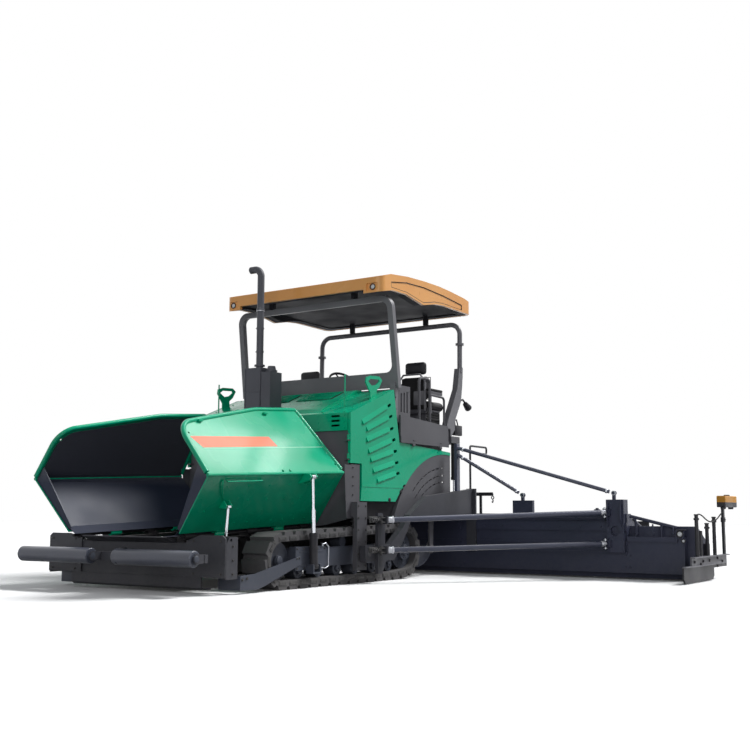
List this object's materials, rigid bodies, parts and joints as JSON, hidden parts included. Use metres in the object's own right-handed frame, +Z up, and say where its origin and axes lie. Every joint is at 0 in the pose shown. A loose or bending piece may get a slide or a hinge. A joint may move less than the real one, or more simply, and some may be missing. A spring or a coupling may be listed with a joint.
{
  "type": "tracked asphalt paver",
  "caption": "Tracked asphalt paver with folding hopper wings, push rollers, slat conveyor, augers, an operator platform under a canopy, and a wide bolted screed on tow arms.",
  "frame": {"origin": "on the ground under the middle of the whole length and width", "axes": "+X to the machine's left, -Y to the hopper in front, +Z up"},
  "size_m": [9.06, 6.835, 3.95],
  "materials": {
    "green_paint": "satin paint",
    "liner_steel": "matt wear plate",
    "grey_paint": "satin paint",
    "screed_paint": "satin paint",
    "black_paint": "matt paint",
    "worn_steel": "worn",
    "rod_chrome": "polished",
    "track_rubber": "worn rubber pads",
    "roof_paint": "gloss skin",
    "roof_lining": "matt",
    "seat_cover": "coated cloth",
    "cast_engine": "cast"
  },
  "bodies": {
    "tractor": {"chassis": "grey_paint", "conveyor": "worn_steel", "front_beam": "grey_paint", "track_frame_left": "grey_paint", "track_frame_right": "grey_paint", "track_left": "track_rubber", "track_right": "track_rubber", "bulkhead": "grey_paint", "engine_block": "cast_engine", "hood": "green_paint", "exhaust": "black_paint", "air_intake": "black_paint", "fenders": "green_paint", "arches": "grey_paint", "platform": "grey_paint", "console": "grey_paint", "seat_frames": "grey_paint", "seat_pads": "seat_cover", "front_hoop": "grey_paint", "rear_hoop": "grey_paint", "canopy_roof": "roof_paint", "canopy_lining": "roof_lining", "auger_mounts": "grey_paint"},
    "push_yoke": {"push_yoke": "black_paint"},
    "screed": {"screed_main": "screed_paint", "screed_extension_left": "screed_paint", "screed_extension_right": "screed_paint", "end_plate_left": "screed_paint", "end_plate_right": "screed_paint", "tow_arms": "grey_paint", "screed_stays": "screed_paint", "walkway": "screed_paint"},
    "wing_left": {"hopper_wing_left": "green_paint", "hopper_liner_left": "liner_steel"},
    "hopper_barrel_left": {"hopper_barrel_left": "black_paint"},
    "hopper_stage_left": {"hopper_stage_left": "rod_chrome"},
    "hopper_rod_left": {"hopper_rod_left": "rod_chrome"},
    "strut_barrel_left": {"strut_barrel_left": "black_paint"},
    "strut_rod_left": {"strut_rod_left": "rod_chrome"},
    "push_roller_left": {"push_roller_left": "worn_steel"},
    "auger_left": {"auger_left": "worn_steel"},
    "lift_barrel_left": {"lift_barrel_left": "black_paint"},
    "lift_rod_left": {"lift_rod_left": "rod_chrome"},
    "door_left": {"louvre_door_left": "green_paint"},
    "wing_right": {"hopper_wing_right": "green_paint", "hopper_liner_right": "liner_steel"},
    "hopper_barrel_right": {"hopper_barrel_right": "black_paint"},
    "hopper_stage_right": {"hopper_stage_right": "rod_chrome"},
    "hopper_rod_right": {"hopper_rod_right": "rod_chrome"},
    "strut_barrel_right": {"strut_barrel_right": "black_paint"},
    "strut_rod_right": {"strut_rod_right": "rod_chrome"},
    "push_roller_right": {"push_roller_right": "worn_steel"},
    "auger_right": {"auger_right": "worn_steel"},
    "lift_barrel_right": {"lift_barrel_right": "black_paint"},
    "lift_rod_right": {"lift_rod_right": "rod_chrome"},
    "door_right": {"louvre_door_right": "green_paint"}
  },
  "joints": [
    {"name": "wing_fold_left", "type": "hinge", "parent": "tractor", "child": "wing_left", "pos_m": [0.765, -3.0525, 0.555], "axis": [0, 0.9991, 0.043], "range_deg": [0, 38]},
    {"name": "hopper_barrel_swing_left", "type": "hinge", "parent": "tractor", "child": "hopper_barrel_left", "pos_m": [1.335, -1.58542, 0.2208], "axis": [0, 0.9991, 0.043], "range_deg": [0, 24.88]},
    {"name": "hopper_stage_slide_left", "type": "slide", "parent": "hopper_barrel_left", "child": "hopper_stage_left", "axis": [0, 0.043, -0.9991], "range_m": [0, 0.2106]},
    {"name": "hopper_rod_slide_left", "type": "slide", "parent": "hopper_stage_left", "child": "hopper_rod_left", "axis": [0, 0.043, -0.9991], "range_m": [0, 0.2106]},
    {"name": "strut_barrel_swing_left", "type": "hinge", "parent": "tractor", "child": "strut_barrel_left", "pos_m": [1.02, -2.68873, 0.25037], "axis": [0, 0.9991, 0.043], "range_deg": [0, 20.83]},
    {"name": "strut_rod_slide_left", "type": "slide", "parent": "strut_barrel_left", "child": "strut_rod_left", "axis": [-0.121, 0.0427, -0.9917], "range_m": [0, 0.2234]},
    {"name": "door_swing_left", "type": "hinge", "parent": "tractor", "child": "door_left", "pos_m": [1.25, -0.8345, 1.5], "axis": [0, 0, -1], "range_deg": [0, 90]},
    {"name": "auger_spin_left", "type": "hinge", "parent": "tractor", "child": "auger_left", "pos_m": [0.7, 0.9875, 0.352], "axis": [1, 0, 0], "continuous": true},
    {"name": "push_roller_spin_left", "type": "hinge", "parent": "push_yoke", "child": "push_roller_left", "pos_m": [0.708, -3.3375, 0.361], "axis": [1, 0, 0], "continuous": true},
    {"name": "wing_fold_right", "type": "hinge", "parent": "tractor", "child": "wing_right", "pos_m": [-0.765, -3.0525, 0.555], "axis": [0, -0.9991, -0.043], "range_deg": [0, 38]},
    {"name": "hopper_barrel_swing_right", "type": "hinge", "parent": "tractor", "child": "hopper_barrel_right", "pos_m": [-1.335, -1.58542, 0.2208], "axis": [0, -0.9991, -0.043], "range_deg": [0, 24.88]},
    {"name": "hopper_stage_slide_right", "type": "slide", "parent": "hopper_barrel_right", "child": "hopper_stage_right", "axis": [0, 0.043, -0.9991], "range_m": [0, 0.2106]},
    {"name": "hopper_rod_slide_right", "type": "slide", "parent": "hopper_stage_right", "child": "hopper_rod_right", "axis": [0, 0.043, -0.9991], "range_m": [0, 0.2106]},
    {"name": "strut_barrel_swing_right", "type": "hinge", "parent": "tractor", "child": "strut_barrel_right", "pos_m": [-1.02, -2.68873, 0.25037], "axis": [0, -0.9991, -0.043], "range_deg": [0, 20.83]},
    {"name": "strut_rod_slide_right", "type": "slide", "parent": "strut_barrel_right", "child": "strut_rod_right", "axis": [0.121, 0.0427, -0.9917], "range_m": [0, 0.2234]},
    {"name": "door_swing_right", "type": "hinge", "parent": "tractor", "child": "door_right", "pos_m": [-1.25, -0.8345, 1.5], "axis": [0, 0, 1], "range_deg": [0, 90]},
    {"name": "auger_spin_right", "type": "hinge", "parent": "tractor", "child": "auger_right", "pos_m": [-0.7, 0.9875, 0.352], "axis": [1, 0, 0], "continuous": true},
    {"name": "push_roller_spin_right", "type": "hinge", "parent": "push_yoke", "child": "push_roller_right", "pos_m": [-0.708, -3.3375, 0.361], "axis": [1, 0, 0], "continuous": true},
    {"name": "push_yoke_swing", "type": "hinge", "parent": "tractor", "child": "push_yoke", "pos_m": [0, -3.0825, 0.361], "axis": [0, 0, 1], "range_deg": [-4, 4]},
    {"name": "screed_lift", "type": "hinge", "parent": "tractor", "child": "screed", "pos_m": [0, -0.6625, 0.34], "axis": [1, 0, 0], "range_deg": [0, 7.5]},
    {"name": "lift_barrel_swing_left", "type": "hinge", "parent": "tractor", "child": "lift_barrel_left", "pos_m": [1.222, 1.7175, 1.78], "axis": [1, 0, 0], "range_deg": [-9.4, 0]},
    {"name": "lift_rod_slide_left", "type": "slide", "parent": "lift_barrel_left", "child": "lift_rod_left", "axis": [0, 0, 1], "range_m": [0, 0.2983]},
    {"name": "lift_barrel_swing_right", "type": "hinge", "parent": "tractor", "child": "lift_barrel_right", "pos_m": [-1.222, 1.7175, 1.78], "axis": [1, 0, 0], "range_deg": [-9.4, 0]},
    {"name": "lift_rod_slide_right", "type": "slide", "parent": "lift_barrel_right", "child": "lift_rod_right", "axis": [0, 0, 1], "range_m": [0, 0.2983]}
  ],
  "couplings": [
    {"joint": "hopper_barrel_swing_left", "follows": "wing_fold_left", "ratio": 0.65454},
    {"joint": "hopper_stage_slide_left", "follows": "wing_fold_left", "m_per_rad": 0.31729},
    {"joint": "hopper_rod_slide_left", "follows": "wing_fold_left", "m_per_rad": 0.31729},
    {"joint": "strut_barrel_swing_left", "follows": "wing_fold_left", "ratio": 0.54794},
    {"joint": "strut_rod_slide_left", "follows": "wing_fold_left", "m_per_rad": 0.33647},
    {"joint": "hopper_barrel_swing_right", "follows": "wing_fold_right", "ratio": 0.65454},
    {"joint": "hopper_stage_slide_right", "follows": "wing_fold_right", "m_per_rad": 0.31729},
    {"joint": "hopper_rod_slide_right", "follows": "wing_fold_right", "m_per_rad": 0.31729},
    {"joint": "strut_barrel_swing_right", "follows": "wing_fold_right", "ratio": 0.54794},
    {"joint": "strut_rod_slide_right", "follows": "wing_fold_right", "m_per_rad": 0.33647},
    {"joint": "lift_barrel_swing_left", "follows": "screed_lift", "ratio": -1.2518},
    {"joint": "lift_rod_slide_left", "follows": "screed_lift", "m_per_rad": 2.2772},
    {"joint": "lift_barrel_swing_right", "follows": "screed_lift", "ratio": -1.2518},
    {"joint": "lift_rod_slide_right", "follows": "screed_lift", "m_per_rad": 2.2772}
  ]
}
